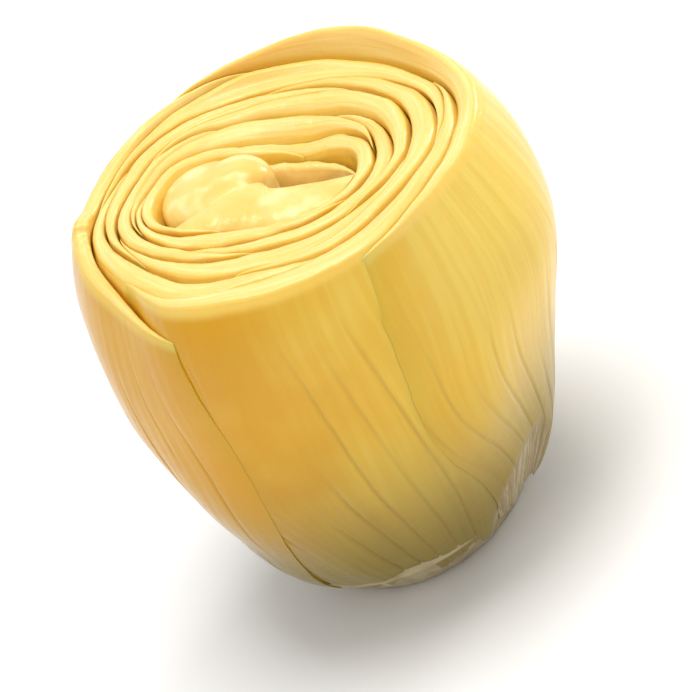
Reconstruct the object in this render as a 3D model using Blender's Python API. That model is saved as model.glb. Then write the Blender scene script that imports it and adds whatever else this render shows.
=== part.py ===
"""An artichoke heart, trimmed and cooked: the leaves overlap round a fleshy bottom, their tips cut off flat.

Run it with blender --background --python part.py, or from Blender's text editor. Metres, +Z up.
The origin is the middle of the flat where the stem was cut, which the heart stands on.

Every leaf is a curved shell, and depth is how far a point lies inside the heart's outline. A leaf's depth
is worked out from the leaves outside it: at each angle it lies as deep as those that cover it there are
thick, with a gap for each. The whole packing is then squeezed to fit between the outline and the bud.
"""

import math

import bpy
import numpy as np

# The heart's outline, a barrel on a narrow foot.
HEART_HEIGHT = 0.0410  # from the flat to the cut face, on the axis
BELLY_RADIUS = 0.0204
BELLY_HEIGHT = 0.0280
FACE_RADIUS = 0.0188
FOOT_RADIUS = 0.0092
FOOT_POWER = 0.80  # below 1 the foot flares out quickly, above 1 slowly
SHOULDER_POWER = 2.2
OVALNESS = 0.020
OVAL_ANGLE = math.radians(25)
LOBING = 0.010
LOBES = 3
LEAN = 0.0022  # how far the cut face's middle stands from over the flat's, towards +X
BULGE = 0.0020  # how far the side towards +X swells
BULGE_HEIGHT = 0.0270
BULGE_REACH = 0.0090
FLARE = 0.0013  # how far the tall side stands out at the top
FLARE_START = 0.0220

# The knife's cuts.
FACE_SLANT = math.radians(8)  # the cut face drops towards +X
TALL_RISE = 0.0034  # how far the outer leaves stand above the face at the tall side
TALL_ANGLE = math.radians(50)
TALL_DEPTH = 0.0035
PARED_ANGLE = math.radians(-50)  # the side where the foot is pared to a steep facet
PARED_SLANT = math.radians(55)
PARED_REACH = 0.0090  # how far from the axis the facet starts, at the flat
POCKET_DROP = 0.0025  # how far the inner leaves fall short of the face, behind the bud
POCKET_ANGLE = math.radians(75)
POCKET_DEPTH = 0.0090

# The leaves, counted from the outside in.
LEAF_COUNT = 15
FIRST_ANGLE = math.radians(13)
TURN = math.radians(137.5)
OUTER_WRAP = math.radians(86)  # half of the angle that the outermost leaf wraps
INNER_WRAP = math.radians(100)
WRAP_CHANGE = math.radians(11)
WRAP_RHYTHM = 2.4
OUTER_THICKNESS = 0.00182
INNER_THICKNESS = 0.00085
EDGE_SHARE = 0.36  # an edge's thickness, as a share of the midrib's
EDGE_POWER = 2.2
CLOSING_SHARE = 0.50  # past an edge, the leaves inside close the step over this share of the wrap
LEAF_GAP = 0.00048
BASE_WRAP_SHARE = 0.74
WIDEST_SHARE = 0.62
TOP_WRAP_SHARE = 0.95
TORN_LEAF = 1
TORN_DROP = 0.0024  # how far the torn leaf's top falls towards one edge
TORN_START = 0.25

# The fleshy bottom that the leaves grow from.
RIM_HEIGHT = 0.0040
CROWN_HEIGHT = 0.0115
SEAT_GAP = 0.00038

# The middle: a bud, one leaf folded round its front, and young leaves that curl behind it.
CORE_RADIUS = 0.0056  # the bud's, at the cut face
CORE_FLOOR = 0.0030  # the height where the core comes to a point
BUD_RISE = 0.0007
BUD_DOME = 0.0032
BUD_LEAN = 0.0008  # how much further the bud reaches at its open side
BUD_ANGLE = math.radians(160)
FOLD_ANGLE = math.radians(-82)
FOLD_WRAP = math.radians(96)
FOLD_THICKNESS = 0.0023
FOLD_DROP = 0.0002
CURL_COUNT = 2
CURL_ANGLE = math.radians(74)
CURL_FAN = math.radians(-16)
CURL_WRAP = math.radians(52)
CURL_THICKNESS = 0.00065
CURL_DROP = 0.0004
CURL_STEP = 0.0007
YOUNG_GAP = 0.00090

# How finely the surfaces are divided.
COLUMNS = 18
ROWS = 8
FOOT_ROWS = 5
FLESH_ROWS = 8
FLESH_STEPS = 36
BUD_ROWS = 5
BUD_DOME_ROWS = 5
BUD_STEPS = 20
LAST_TURN = math.radians(80)  # the bud's dome stops here, with a small flat
SETTLING = 8  # a leaf's heights and depths depend on each other, and settle in this many rounds

LEAF_COLOUR = (0.86, 0.63, 0.20)
YOUNG_COLOUR = (0.93, 0.80, 0.42)
FLESH_COLOUR = (0.80, 0.72, 0.50)


def clear_scene():
    for thing in list(bpy.data.objects):
        bpy.data.objects.remove(thing, do_unlink=True)


def smooth(share):
    """From 0 to 1 with level ends."""
    held = np.clip(share, 0.0, 1.0)
    return held * held * (3.0 - 2.0 * held)


def turned(angle):
    """The same angle, between minus and plus half a turn."""
    return (angle + math.pi) % (2 * math.pi) - math.pi


def outside_radius(angle, height):
    """The outline: a curved foot with a pared facet, a belly, and a shoulder that draws in to the face."""
    low = np.clip(1.0 - height / BELLY_HEIGHT, 0.0, 1.0)
    foot = FOOT_RADIUS + (BELLY_RADIUS - FOOT_RADIUS) * (1.0 - low**2) ** FOOT_POWER
    high = np.clip((height - BELLY_HEIGHT) / (HEART_HEIGHT - BELLY_HEIGHT), 0.0, 2.0)
    shoulder = (BELLY_RADIUS - FACE_RADIUS) * high**SHOULDER_POWER
    side = np.clip(np.cos(angle - TALL_ANGLE), 0.0, 1.0)
    flare = FLARE * side * smooth((height - FLARE_START) / (HEART_HEIGHT - FLARE_START))
    swell = np.exp(-(((height - BULGE_HEIGHT) / BULGE_REACH) ** 2))
    bulge = BULGE * np.clip(np.cos(angle), 0.0, 1.0) * swell
    wave = OVALNESS * np.cos(2 * (angle - OVAL_ANGLE)) + LOBING * np.cos(LOBES * angle)
    grown = (foot - shoulder) * (1.0 + wave) + flare + bulge
    facing = np.maximum(np.cos(angle - PARED_ANGLE), 0.2)
    return np.minimum(grown, (PARED_REACH + height / math.tan(PARED_SLANT)) / facing)


def core_radius(height):
    """The room left for the bud in the middle, a point at the bottom and widest at the face."""
    return CORE_RADIUS * np.clip((height - CORE_FLOOR) / (HEART_HEIGHT - CORE_FLOOR), 0.0, 1.2)


def leaf_angle(leaf):
    return FIRST_ANGLE + leaf * TURN


def leaf_share(leaf):
    return leaf / (LEAF_COUNT - 1)


def leaf_thickness(leaf):
    return OUTER_THICKNESS + (INNER_THICKNESS - OUTER_THICKNESS) * leaf_share(leaf)


def leaf_wrap(leaf, height):
    """Half of the angle that a leaf wraps at a height: narrow where it grows out, widest above the middle."""
    change = WRAP_CHANGE * math.cos(WRAP_RHYTHM * leaf)
    full = OUTER_WRAP + (INNER_WRAP - OUTER_WRAP) * leaf_share(leaf) + change
    share = np.clip(height / HEART_HEIGHT, 0.0, 1.0)
    rising = BASE_WRAP_SHARE + (1.0 - BASE_WRAP_SHARE) * smooth(share / WIDEST_SHARE)
    falling = (1.0 - TOP_WRAP_SHARE) * smooth((share - WIDEST_SHARE) / (1.0 - WIDEST_SHARE))
    return full * (rising - falling)


def midrib_share(across):
    """A leaf's thickness as a share of its midrib's. Across is 0 at the midrib and 1 at an edge."""
    return 1.0 - (1.0 - EDGE_SHARE) * np.abs(across) ** EDGE_POWER


def room_taken(leaf, angle, height):
    """The depth that a leaf and its gap take, which dies away past its edges."""
    across = np.abs(turned(angle - leaf_angle(leaf))) / leaf_wrap(leaf, height)
    inside = LEAF_GAP + leaf_thickness(leaf) * midrib_share(np.minimum(across, 1.0))
    return inside * (1.0 - smooth((across - 1.0) / CLOSING_SHARE))


def depth_outside(leaf, angle, height):
    """The depth of a leaf's outer face: the room taken by every leaf outside it."""
    total = np.zeros(np.broadcast(angle, height).shape)
    for other in range(leaf):
        total = total + room_taken(other, angle, height)
    return total


def leaves_depth():
    """The most depth that all the leaves take together, at any angle and height."""
    angle = np.linspace(-math.pi, math.pi, 145)
    height = np.linspace(RIM_HEIGHT, HEART_HEIGHT + TALL_RISE, 13)[:, None]
    return float(depth_outside(LEAF_COUNT, angle, height).max())


LEAVES_DEPTH = leaves_depth()
CURLS_DEPTH = CURL_COUNT * CURL_THICKNESS + (CURL_COUNT - 1) * YOUNG_GAP
PACKED_DEPTH = LEAVES_DEPTH + max(FOLD_THICKNESS, CURLS_DEPTH) + YOUNG_GAP


def place(angle, height, depth):
    """The point at a depth in the packing, squeezed to fit between the outline and the core."""
    outside = outside_radius(angle, height)
    radius = outside - (outside - core_radius(height)) * depth / PACKED_DEPTH
    middle = LEAN * height / HEART_HEIGHT
    return np.stack([middle + radius * np.cos(angle), radius * np.sin(angle), height], axis=-1)


def flesh_height(depth):
    """The height of the bottom's top surface: a low dome from the rim to the crown."""
    share = np.clip(depth / PACKED_DEPTH, 0.0, 1.0)
    return RIM_HEIGHT + (CROWN_HEIGHT - RIM_HEIGHT) * (1.0 - (1.0 - share) ** 2)


def face_height(angle, depth):
    """The height of the leaves' tops. The outer ones stand taller at one side, the inner ones lower."""
    reach = FACE_RADIUS - (FACE_RADIUS - CORE_RADIUS) * depth / PACKED_DEPTH
    side = np.clip(np.cos(angle - TALL_ANGLE), 0.0, 1.0) ** 2
    outer = 1.0 - smooth(depth / TALL_DEPTH)
    behind = np.clip(np.cos(angle - POCKET_ANGLE), 0.0, 1.0) ** 2
    pocket = POCKET_DROP * behind * smooth((depth - POCKET_DEPTH) / (LEAVES_DEPTH - POCKET_DEPTH))
    return HEART_HEIGHT - math.tan(FACE_SLANT) * reach * np.cos(angle) + TALL_RISE * side * outer - pocket


def leaf_side(leaf, inward):
    """One face of a leaf, in rows from its foot on the bottom's dome up to the knife's cut."""
    across = np.linspace(-1.0, 1.0, COLUMNS + 1)
    up = np.linspace(0.0, 1.0, ROWS + 1)[:, None]
    torn = TORN_DROP * smooth((across - TORN_START) / (1.0 - TORN_START)) if leaf == TORN_LEAF else 0.0
    height = np.full((ROWS + 1, COLUMNS + 1), HEART_HEIGHT / 2)
    for _ in range(SETTLING):
        angle = leaf_angle(leaf) + across * leaf_wrap(leaf, height)
        depth = depth_outside(leaf, angle, height) + inward * leaf_thickness(leaf) * midrib_share(across)
        foot = flesh_height(depth) + SEAT_GAP
        height = foot + up * (face_height(angle, depth) - torn - foot)
    return place(angle, height, depth)


def young_side(middle, wrap, start, thickness, drop):
    """One face of a young leaf, in rows from its foot on the crown up to just below the knife's cut."""
    across = np.linspace(-1.0, 1.0, COLUMNS + 1)
    up = np.linspace(0.0, 1.0, ROWS + 1)[:, None]
    angle = middle + across * wrap
    depth = LEAVES_DEPTH + start + thickness * midrib_share(across)
    foot = CROWN_HEIGHT + SEAT_GAP
    height = foot + up * (face_height(angle, depth) - drop - foot)
    return place(angle + 0.0 * height, height, depth + 0.0 * height)


def shell_mesh(name, outer, inner):
    """A closed shell between two grids of points, joined round their four sides."""
    rows, columns = outer.shape[:2]

    def corner(row, column, side):
        return (side * rows + row) * columns + column

    faces = []
    for row in range(rows - 1):
        for column in range(columns - 1):
            quad = [(row, column), (row, column + 1), (row + 1, column + 1), (row + 1, column)]
            faces.append([corner(*spot, 0) for spot in quad])
            faces.append([corner(*spot, 1) for spot in reversed(quad)])
    rim = [(0, column) for column in range(columns)]
    rim += [(row, columns - 1) for row in range(1, rows)]
    rim += [(rows - 1, column) for column in range(columns - 2, -1, -1)]
    rim += [(row, 0) for row in range(rows - 2, 0, -1)]
    for here, after in zip(rim, rim[1:] + rim[:1]):
        faces.append([corner(*after, 0), corner(*here, 0), corner(*here, 1), corner(*after, 1)])
    points = np.concatenate([outer.reshape(-1, 3), inner.reshape(-1, 3)])
    mesh = bpy.data.meshes.new(name)
    mesh.from_pydata(points.tolist(), [], faces)
    return mesh


def round_mesh(name, rings):
    """A closed body from rings of points, listed from the bottom up, with a flat cap on each end."""
    count, steps = rings.shape[:2]
    faces = [list(range(steps - 1, -1, -1))]
    for ring in range(count - 1):
        for step in range(steps):
            after = (step + 1) % steps
            low, high = ring * steps, (ring + 1) * steps
            faces.append([low + step, low + after, high + after, high + step])
    faces.append([(count - 1) * steps + step for step in range(steps)])
    mesh = bpy.data.meshes.new(name)
    mesh.from_pydata(rings.reshape(-1, 3).tolist(), [], faces)
    return mesh


def leaf_mesh(name, leaf):
    return shell_mesh(name, leaf_side(leaf, 0.0), leaf_side(leaf, 1.0))


def fold_mesh(name):
    """The thick young leaf that folds round the front of the bud."""
    outer = young_side(FOLD_ANGLE, FOLD_WRAP, 0.0, 0.0, FOLD_DROP)
    inner = young_side(FOLD_ANGLE, FOLD_WRAP, 0.0, FOLD_THICKNESS, FOLD_DROP)
    return shell_mesh(name, outer, inner)


def curl_mesh(name, curl):
    """A thin young leaf behind the bud. Each next one lies further in, further round and lower."""
    angle = CURL_ANGLE + curl * CURL_FAN
    start = curl * (CURL_THICKNESS + YOUNG_GAP)
    drop = CURL_DROP + curl * CURL_STEP
    outer = young_side(angle, CURL_WRAP, start, 0.0, drop)
    inner = young_side(angle, CURL_WRAP, start, CURL_THICKNESS, drop)
    return shell_mesh(name, outer, inner)


def bud_mesh(name):
    """The tight middle of the heart: a spindle with a domed top, reaching further to its open side."""
    angle = np.linspace(0.0, 2 * math.pi, BUD_STEPS, endpoint=False)
    reach = BUD_LEAN * np.clip(np.cos(angle - BUD_ANGLE), 0.0, 1.0)
    shoulder = HEART_HEIGHT + BUD_RISE - BUD_DOME
    stem = np.linspace(CROWN_HEIGHT + SEAT_GAP, shoulder, BUD_ROWS, endpoint=False)
    rows = [(height, 1.0) for height in stem]
    for turn in np.linspace(0.0, LAST_TURN, BUD_DOME_ROWS):
        rows.append((shoulder + BUD_DOME * math.sin(turn), math.cos(turn)))
    rings = []
    for height, width in rows:
        ring = place(angle, np.full(BUD_STEPS, height), PACKED_DEPTH - reach)
        axis = ring.mean(axis=0)
        rings.append(axis + (ring - axis) * width)
    return round_mesh(name, np.array(rings))


def bottom_mesh(name):
    """The fleshy bottom with its stub of stem: a foot, a rim, and a low dome that the leaves grow from."""
    angle = np.linspace(0.0, 2 * math.pi, FLESH_STEPS, endpoint=False)
    rings = []
    for height in np.linspace(0.0, RIM_HEIGHT, FOOT_ROWS, endpoint=False):
        rings.append(place(angle, np.full(FLESH_STEPS, height), 0.0))
    for depth in np.linspace(0.0, PACKED_DEPTH, FLESH_ROWS):
        rings.append(place(angle, np.full(FLESH_STEPS, flesh_height(depth)), depth))
    return round_mesh(name, np.array(rings))


def material(name, colour, roughness):
    made = bpy.data.materials.new(name)
    made.use_nodes = True
    shader = made.node_tree.nodes["Principled BSDF"]
    shader.inputs["Base Color"].default_value = (*colour, 1.0)
    shader.inputs["Roughness"].default_value = roughness
    shader.inputs["Metallic"].default_value = 0.0
    return made


def add_object(name, mesh, finish, parent):
    mesh.materials.append(finish)
    mesh.shade_smooth()
    mesh.set_sharp_from_angle(angle=math.radians(40))
    made = bpy.data.objects.new(name, mesh)
    made.parent = parent
    bpy.context.scene.collection.objects.link(made)


def main():
    clear_scene()
    leaf_skin = material("leaf_skin", LEAF_COLOUR, 0.35)
    young_skin = material("young_skin", YOUNG_COLOUR, 0.40)
    bottom_flesh = material("bottom_flesh", FLESH_COLOUR, 0.50)
    heart = bpy.data.objects.new("artichoke_heart", None)
    bpy.context.scene.collection.objects.link(heart)
    add_object("fleshy_bottom", bottom_mesh("fleshy_bottom"), bottom_flesh, heart)
    for leaf in range(LEAF_COUNT):
        layer = ("outer", "middle", "inner")[3 * leaf // LEAF_COUNT]
        name = f"{layer}_leaf_{leaf % (LEAF_COUNT // 3) + 1}"
        add_object(name, leaf_mesh(name, leaf), leaf_skin, heart)
    add_object("folded_leaf", fold_mesh("folded_leaf"), young_skin, heart)
    for curl in range(CURL_COUNT):
        name = f"young_leaf_{curl + 1}"
        add_object(name, curl_mesh(name, curl), young_skin, heart)
    add_object("centre_bud", bud_mesh("centre_bud"), young_skin, heart)


main()
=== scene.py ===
# %% [markdown]
# # An artichoke heart
#
# A cooked artichoke heart stands on its stem cut. Golden leaves, which a botanist calls bracts, wrap
# round a fleshy bottom, and a knife has taken their tips off, so the top shows a pale spiral of cut
# edges round a small closed bud. This lesson makes every leaf with one Geometry Nodes tree, because
# all of them follow one rule: each lies as deep as the leaves outside it are thick.

# %% Load the packed model
import math

import bmesh
import bpy
from mathutils import Matrix, Vector, noise


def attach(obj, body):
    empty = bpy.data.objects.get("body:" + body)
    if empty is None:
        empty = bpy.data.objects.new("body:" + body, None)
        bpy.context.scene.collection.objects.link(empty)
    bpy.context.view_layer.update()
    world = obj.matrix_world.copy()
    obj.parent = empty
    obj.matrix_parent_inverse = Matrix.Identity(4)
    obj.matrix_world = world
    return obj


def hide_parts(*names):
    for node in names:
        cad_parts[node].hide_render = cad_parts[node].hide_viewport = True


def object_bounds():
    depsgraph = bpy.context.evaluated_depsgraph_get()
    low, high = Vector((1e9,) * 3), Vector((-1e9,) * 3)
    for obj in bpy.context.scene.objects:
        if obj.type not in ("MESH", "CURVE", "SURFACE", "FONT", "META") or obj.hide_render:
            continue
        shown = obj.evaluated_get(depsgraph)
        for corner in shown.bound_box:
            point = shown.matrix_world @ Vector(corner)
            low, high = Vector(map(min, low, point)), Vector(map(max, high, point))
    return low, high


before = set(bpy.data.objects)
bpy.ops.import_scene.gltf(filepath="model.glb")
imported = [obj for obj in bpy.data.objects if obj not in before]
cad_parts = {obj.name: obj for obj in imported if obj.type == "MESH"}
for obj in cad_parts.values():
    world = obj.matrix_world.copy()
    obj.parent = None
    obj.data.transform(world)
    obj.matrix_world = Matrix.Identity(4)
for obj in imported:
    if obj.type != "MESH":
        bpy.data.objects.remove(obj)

cad_low, cad_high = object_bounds()
print("CAD box, mm:", [round(1000 * side, 1) for side in (*cad_low, *cad_high)])

# %% [markdown]
# ## The heart's own millimetre
#
# Every size below is in the heart's own millimetres. One of them is measured off the packed model,
# which is 43.58 of them tall. If the model is ever packed at another size, all of this follows it.

# %% The measure, and the heart's sizes
CAD_HEIGHT = 43.58
MM = (cad_high.z - cad_low.z) / CAD_HEIGHT
print("one millimetre of the heart is", round(1000 * MM, 4), "mm in the frame")

# The outline, a barrel on a narrow foot
HEART_HEIGHT = 41.0
BELLY_RADIUS = 20.4
BELLY_HEIGHT = 28.0
FACE_RADIUS = 18.8
FOOT_RADIUS = 9.2
FOOT_POWER = 0.80
SHOULDER_POWER = 2.2
OVALNESS = 0.020
OVAL_ANGLE = math.radians(25)
LOBING = 0.010
LOBES = 3
LEAN = 2.2
BULGE = 2.0
BULGE_HEIGHT = 27.0
BULGE_REACH = 9.0
FLARE = 1.3
FLARE_START = 22.0

# The knife's cuts
FACE_SLANT = math.radians(8)
TALL_RISE = 3.2
TALL_ANGLE = math.radians(50)
TALL_DEPTH = 3.0
PARED_ANGLE = math.radians(-50)
PARED_SLANT = math.radians(55)
PARED_REACH = 9.0

# The leaves, from the outside in
LEAF_COUNT = 15
FIRST_ANGLE = math.radians(13)
TURN = math.radians(137.5)
OUTER_WRAP = math.radians(86)
INNER_WRAP = math.radians(100)
WRAP_CHANGE = math.radians(11)
WRAP_RHYTHM = 2.4
OUTER_THICKNESS = 2.2
INNER_THICKNESS = 1.3
EDGE_SHARE = 0.05
EDGE_POWER = 1.3
CLOSING_SHARE = 0.50
LEAF_GAP = 0.03
BASE_WRAP_SHARE = 0.74
WIDEST_SHARE = 0.62
TOP_WRAP_SHARE = 0.95

# The bottom, and the ring of room that the leaves leave for the bud
RIM_HEIGHT = 4.0
CROWN_HEIGHT = 11.5
RING_RADIUS = 8.4
RING_FLOOR = 3.0
RING_ANGLE = math.radians(150)
RING_OVAL = 1.0
RING_SHIFT = 0.5
FACE_ROOM = FACE_RADIUS - RING_RADIUS

# %% [markdown]
# ## Formulas as nodes
#
# A tree of Math nodes is hard to read. This class wraps a node's output, so that a formula can be
# written as in Python, and Python adds the nodes. The same class serves the Geometry Nodes trees and
# the materials.

# %% A node's output that can be calculated with
class Wire:
    """A node's output. Arithmetic on it adds Math nodes to its tree."""

    def __init__(self, tree, socket=None):
        self.tree = tree
        self.socket = socket

    def feed(self, socket, value):
        if isinstance(value, Wire):
            self.tree.links.new(value.socket, socket)
        else:
            socket.default_value = value

    def node(self, kind, settings=None, sockets=None, output=0):
        """Adds a node: first its settings, then its sockets' values or wires."""
        made = self.tree.nodes.new(kind)
        for name, value in (settings or {}).items():
            setattr(made, name, value)
        for name, value in (sockets or {}).items():
            self.feed(made.inputs[name], value)
        return Wire(self.tree, made.outputs[output])

    def math(self, operation, *values):
        return self.node("ShaderNodeMath", {"operation": operation}, dict(enumerate(values)))

    def __add__(self, other):
        return self.math("ADD", self, other)

    def __radd__(self, other):
        return self.math("ADD", other, self)

    def __sub__(self, other):
        return self.math("SUBTRACT", self, other)

    def __rsub__(self, other):
        return self.math("SUBTRACT", other, self)

    def __mul__(self, other):
        return self.math("MULTIPLY", self, other)

    def __rmul__(self, other):
        return self.math("MULTIPLY", other, self)

    def __truediv__(self, other):
        return self.math("DIVIDE", self, other)

    def __pow__(self, other):
        return self.math("POWER", self, other)

    def __rpow__(self, other):
        return self.math("POWER", other, self)

    def __abs__(self):
        return self.math("ABSOLUTE", self)


print("a Wire understands + - * / ** and abs, and", [name for name in vars(Wire) if name[0] != "_"])

# %% [markdown]
# The heart's formulas are used twice: as nodes for the leaves, and as plain numbers for the bottom and
# the bud. So these few functions take either.

# %% Functions of numbers or wires
def clamp(value, low=0.0, high=1.0):
    if isinstance(value, Wire):
        return value.node("ShaderNodeClamp", None, {"Value": value, "Min": low, "Max": high})
    return min(max(value, low), high)


def smooth(value, low, high):
    """0 up to low, 1 from high on, and level at both."""
    if isinstance(value, Wire):
        sockets = {"Value": value, "From Min": low, "From Max": high}
        return value.node("ShaderNodeMapRange", {"interpolation_type": "SMOOTHSTEP"}, sockets)
    share = clamp((value - low) / (high - low))
    return share * share * (3 - 2 * share)


def cosine(angle):
    return angle.math("COSINE", angle) if isinstance(angle, Wire) else math.cos(angle)


def sine(angle):
    return angle.math("SINE", angle) if isinstance(angle, Wire) else math.sin(angle)


def least(first, second):
    return first.math("MINIMUM", first, second) if isinstance(first, Wire) else min(first, second)


print("half of a smooth step is", smooth(0.5, 0.0, 1.0))

# %% [markdown]
# ## The rule that every leaf follows
#
# The heart's outline is a radius for each angle and height, and so is the ring of room round the bud.
# Every leaf lies between the two. A leaf is thickest at its midrib and thin at its edges, and past an
# edge the leaves inside close the step.

# %% Outline, ring, wrap and thickness
def grown_outline(angle, height):
    low = clamp(1 - height / BELLY_HEIGHT)
    foot = FOOT_RADIUS + (BELLY_RADIUS - FOOT_RADIUS) * (1 - low * low) ** FOOT_POWER
    high = clamp((height - BELLY_HEIGHT) / (HEART_HEIGHT - BELLY_HEIGHT), 0.0, 2.0)
    shoulder = (BELLY_RADIUS - FACE_RADIUS) * high**SHOULDER_POWER
    flare = FLARE * clamp(cosine(angle - TALL_ANGLE)) * smooth(height, FLARE_START, HEART_HEIGHT)
    swell = 2.718 ** (-1 * ((height - BULGE_HEIGHT) / BULGE_REACH) ** 2)
    bulge = BULGE * clamp(cosine(angle)) * swell
    wave = OVALNESS * cosine(2 * (angle - OVAL_ANGLE)) + LOBING * cosine(LOBES * angle)
    return (foot - shoulder) * (1 + wave) + flare + bulge


def pared_outline(angle, height):
    """How far out the slanted cut beside the stem's end lies."""
    facing = clamp(cosine(angle - PARED_ANGLE), 0.2, 1.0)
    return (PARED_REACH + height / math.tan(PARED_SLANT)) / facing


def outline(angle, height):
    return least(grown_outline(angle, height), pared_outline(angle, height))


def ring_rise(height):
    """The ring widens from a point near the flat to its full size at the face."""
    return clamp((height - RING_FLOOR) / (HEART_HEIGHT - RING_FLOOR), 0.02, 1.2)


def ring(angle, height):
    off = angle - RING_ANGLE
    return (RING_RADIUS + RING_OVAL * cosine(2 * off) + RING_SHIFT * cosine(off)) * ring_rise(height)


def leaf_angle(leaf):
    return leaf * TURN + FIRST_ANGLE


def leaf_wrap(leaf):
    share = leaf / (LEAF_COUNT - 1)
    return OUTER_WRAP + (INNER_WRAP - OUTER_WRAP) * share + WRAP_CHANGE * cosine(leaf * WRAP_RHYTHM)


def leaf_thickness(leaf):
    return OUTER_THICKNESS + (INNER_THICKNESS - OUTER_THICKNESS) * (leaf / (LEAF_COUNT - 1))


def wrap_at(full, height):
    """A leaf's half angle at a height: narrow where it grows out, widest above the middle."""
    share = clamp(height / HEART_HEIGHT)
    rising = BASE_WRAP_SHARE + (1 - BASE_WRAP_SHARE) * smooth(share, 0.0, WIDEST_SHARE)
    falling = (1 - TOP_WRAP_SHARE) * smooth(share, WIDEST_SHARE, 1.0)
    return full * (rising - falling)


def midrib_share(across):
    """A leaf's thickness as a share of its midrib's. Across is 0 at the midrib and 1 at an edge."""
    near = clamp(1 - across * across)
    return EDGE_SHARE + (1 - EDGE_SHARE) * near**EDGE_POWER


def room_taken(leaf, angle, height):
    """The depth that one leaf and its gap take, which dies away past the leaf's edges."""
    off = angle.math("WRAP", angle - leaf_angle(leaf), math.pi, -math.pi)
    across = abs(off) / wrap_at(leaf_wrap(leaf), height)
    room = (LEAF_GAP + leaf_thickness(leaf)) * midrib_share(across)
    return room * (1 - smooth(across, 1.0, 1 + CLOSING_SHARE))


def flesh_height(share):
    """The height of the bottom's top. Share is 0 at its rim and 1 in its middle."""
    low = clamp(1 - share)
    return RIM_HEIGHT + (CROWN_HEIGHT - RIM_HEIGHT) * (1 - low * low)


def face_height(angle, share):
    """The height of the knife's cut, which is higher on one side and slants."""
    reach = FACE_RADIUS - FACE_ROOM * share
    side = clamp(cosine(angle - TALL_ANGLE)) ** 2
    outer = 1 - smooth(share * FACE_ROOM, 0.0, TALL_DEPTH)
    return HEART_HEIGHT - math.tan(FACE_SLANT) * reach * cosine(angle) + TALL_RISE * side * outer


print("the outline's radius at the belly, mm:", round(outline(0.0, BELLY_HEIGHT), 1))

# %% [markdown]
# ## Adding up the leaves
#
# How deep a leaf lies is a sum over the leaves outside it, and the room it has is a sum over all of
# them. A Repeat Zone is a loop in nodes: it runs its inside once for each leaf and hands the running
# sums on to the next round.

# %% Two sums as a Repeat Zone
def packing_sums(tree, outside_count, term):
    """The sums of term(0), term(1) and so on: over the leaves outside, and over all leaves."""
    first = tree.nodes.new("GeometryNodeRepeatInput")
    last = tree.nodes.new("GeometryNodeRepeatOutput")
    first.pair_with_output(last)
    last.repeat_items.clear()
    for name in ("Outside", "All"):
        last.repeat_items.new("FLOAT", name)
    first.inputs["Iterations"].default_value = LEAF_COUNT
    leaf = Wire(tree, first.outputs["Iteration"])
    room = term(leaf)
    counted = room.math("LESS_THAN", leaf, outside_count - 0.5)
    leaf.feed(last.inputs["Outside"], Wire(tree, first.outputs["Outside"]) + room * counted)
    leaf.feed(last.inputs["All"], Wire(tree, first.outputs["All"]) + room)
    return Wire(tree, last.outputs["Outside"]), Wire(tree, last.outputs["All"])


print("each sum runs over", LEAF_COUNT, "leaves")

# %% [markdown]
# ## Wandering
#
# Nothing that grew is exact. One slow noise bends the whole heart, all leaves alike, so that they
# still fit each other. It reads the place in the heart, and so it never lets two leaves cross.

# %% Vectors, noise, and a slow bend of the whole heart
BEND_REACH = 1.3
BEND_SIZE = 14.0


def combine(x, y, z, tree):
    return Wire(tree).node("ShaderNodeCombineXYZ", None, {"X": x, "Y": y, "Z": z})


def vector_math(operation, first, second):
    return first.node("ShaderNodeVectorMath", {"operation": operation}, {0: first, 1: second})


def stretched(vector, amount):
    return vector.node("ShaderNodeVectorMath", {"operation": "SCALE"}, {0: vector, "Scale": amount})


def noise_wire(vector, scale, detail=0.0, roughness=0.5, output="Fac"):
    sockets = {"Vector": vector, "Scale": scale, "Detail": detail, "Roughness": roughness}
    return vector.node("ShaderNodeTexNoise", None, sockets, output)


def bent(point):
    swing = noise_wire(point, 1.0 / BEND_SIZE, output="Color")
    swing = vector_math("SUBTRACT", swing, (0.5, 0.5, 0.5))
    swing = vector_math("MULTIPLY", swing, (2 * BEND_REACH, 2 * BEND_REACH, BEND_REACH))
    return vector_math("ADD", point, swing)


print("the bend moves a point sideways by up to", BEND_REACH, "mm")

# %% [markdown]
# ## The leaf tree
#
# A Cube primitive with many cuts is a closed box already, so it needs no thickness or caps later. Its
# X becomes the way round the heart, its Y the way up, and its Z the way through the leaf. The leaf's
# sizes are the tree's named inputs.

# %% The inputs of a leaf
LEAF_INPUTS = {
    "Leaves outside": ("NodeSocketInt", 0),
    "Start depth": ("NodeSocketFloat", 0.0),
    "Angle": ("NodeSocketFloat", 0.0),
    "Wrap": ("NodeSocketFloat", 1.5),
    "Thickness": ("NodeSocketFloat", 1.5),
    "Fill": ("NodeSocketFloat", 0.0),
    "Top drop": ("NodeSocketFloat", 0.0),
    "Torn drop": ("NodeSocketFloat", 0.0),
    "Pocket drop": ("NodeSocketFloat", 0.0),
    "Edge wander": ("NodeSocketFloat", 0.4),
    "Edge round": ("NodeSocketFloat", 0.4),
    "Vein depth": ("NodeSocketFloat", 0.2),
    "Seed": ("NodeSocketFloat", 0.0),
    "Columns": ("NodeSocketInt", 60),
    "Rows": ("NodeSocketInt", 30),
    "Layers": ("NodeSocketInt", 7),
    "Material": ("NodeSocketMaterial", None),
}


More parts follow.
